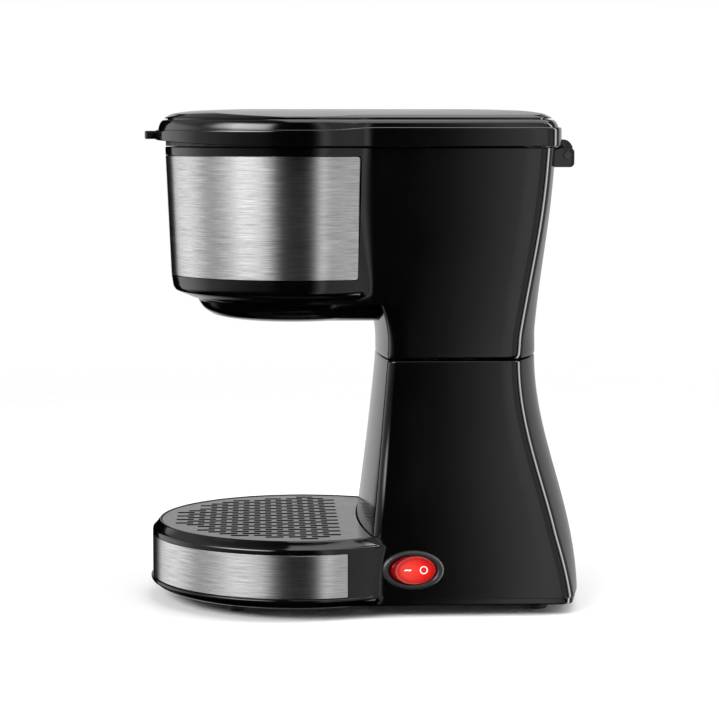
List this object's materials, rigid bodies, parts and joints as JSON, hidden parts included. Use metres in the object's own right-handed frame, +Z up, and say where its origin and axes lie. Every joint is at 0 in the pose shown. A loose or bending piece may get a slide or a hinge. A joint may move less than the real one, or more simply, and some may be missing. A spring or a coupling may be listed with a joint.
{
  "type": "drip coffee maker",
  "caption": "Compact drip coffee maker with a round head over a round drip tray, a pinched column, brushed steel bands, a hinged lid and an oval rocker switch.",
  "frame": {"origin": "on the table, under the middle of the bounding box", "axes": "+Z up, -Y towards the front, +X towards the side with the switch"},
  "size_m": [0.1574, 0.2253, 0.2553],
  "materials": {
    "gloss_black": "glossy black",
    "satin_black": "satin black",
    "brushed_steel": "fine horizontal brushing",
    "plain_steel": "plain",
    "aluminium": "extruded",
    "rubber": "matte",
    "silicone": "translucent white",
    "red_lens": "translucent red",
    "white_plastic": "plain",
    "wire_sleeve": "glass-fibre sleeve",
    "filter_mesh": "woven",
    "grey_tray": "satin grey"
  },
  "bodies": {
    "machine": {"base_housing": "gloss_black", "base_plate": "satin_black", "base_screw_1": "plain_steel", "base_screw_2": "plain_steel", "base_screw_3": "plain_steel", "base_screw_4": "plain_steel", "foot_1": "rubber", "foot_2": "rubber", "foot_3": "rubber", "foot_4": "rubber", "upper_housing": "gloss_black", "upper_steel_band": "brushed_steel", "lower_steel_band": "brushed_steel", "drip_funnel": "gloss_black", "water_tank": "satin_black", "filter_basket": "satin_black", "mesh_filter": "filter_mesh", "hinge_pin": "plain_steel", "switch_bezel": "satin_black", "switch_body": "satin_black", "water_tube": "aluminium", "heating_element": "plain_steel", "check_valve": "white_plastic", "inlet_hose": "silicone", "riser_hose": "silicone", "heater_bracket": "plain_steel", "thermostat": "white_plastic", "thermal_fuse": "wire_sleeve", "terminal_block": "white_plastic", "cord_grommet": "rubber", "wire_live": "wire_sleeve", "wire_heater": "wire_sleeve", "wire_neutral": "wire_sleeve"},
    "lid": {"lid_shell": "gloss_black", "lid_liner": "satin_black", "shower_head": "satin_black", "riser_seal": "silicone", "steam_vent_cap": "satin_black"},
    "tray": {"drip_tray": "gloss_black"},
    "grid": {"drip_grid": "grey_tray"},
    "rocker": {"switch_rocker": "red_lens"}
  },
  "joints": [
    {"name": "lid_hinge", "type": "hinge", "parent": "machine", "child": "lid", "pos_m": [0, 0.10485, 0.2315], "axis": [-1, 0, 0], "range_deg": [0, 95]},
    {"name": "tray_lift", "type": "slide", "parent": "machine", "child": "tray", "axis": [0, 0, 1], "range_m": [0, 0.03]},
    {"name": "grid_lift", "type": "slide", "parent": "tray", "child": "grid", "axis": [0, 0, 1], "range_m": [0, 0.03]},
    {"name": "rocker_tilt", "type": "hinge", "parent": "machine", "child": "rocker", "pos_m": [0.06768, 0.02285, 0.0241], "axis": [0.1219, 0, -0.9925], "range_deg": [0, 14]}
  ]
}
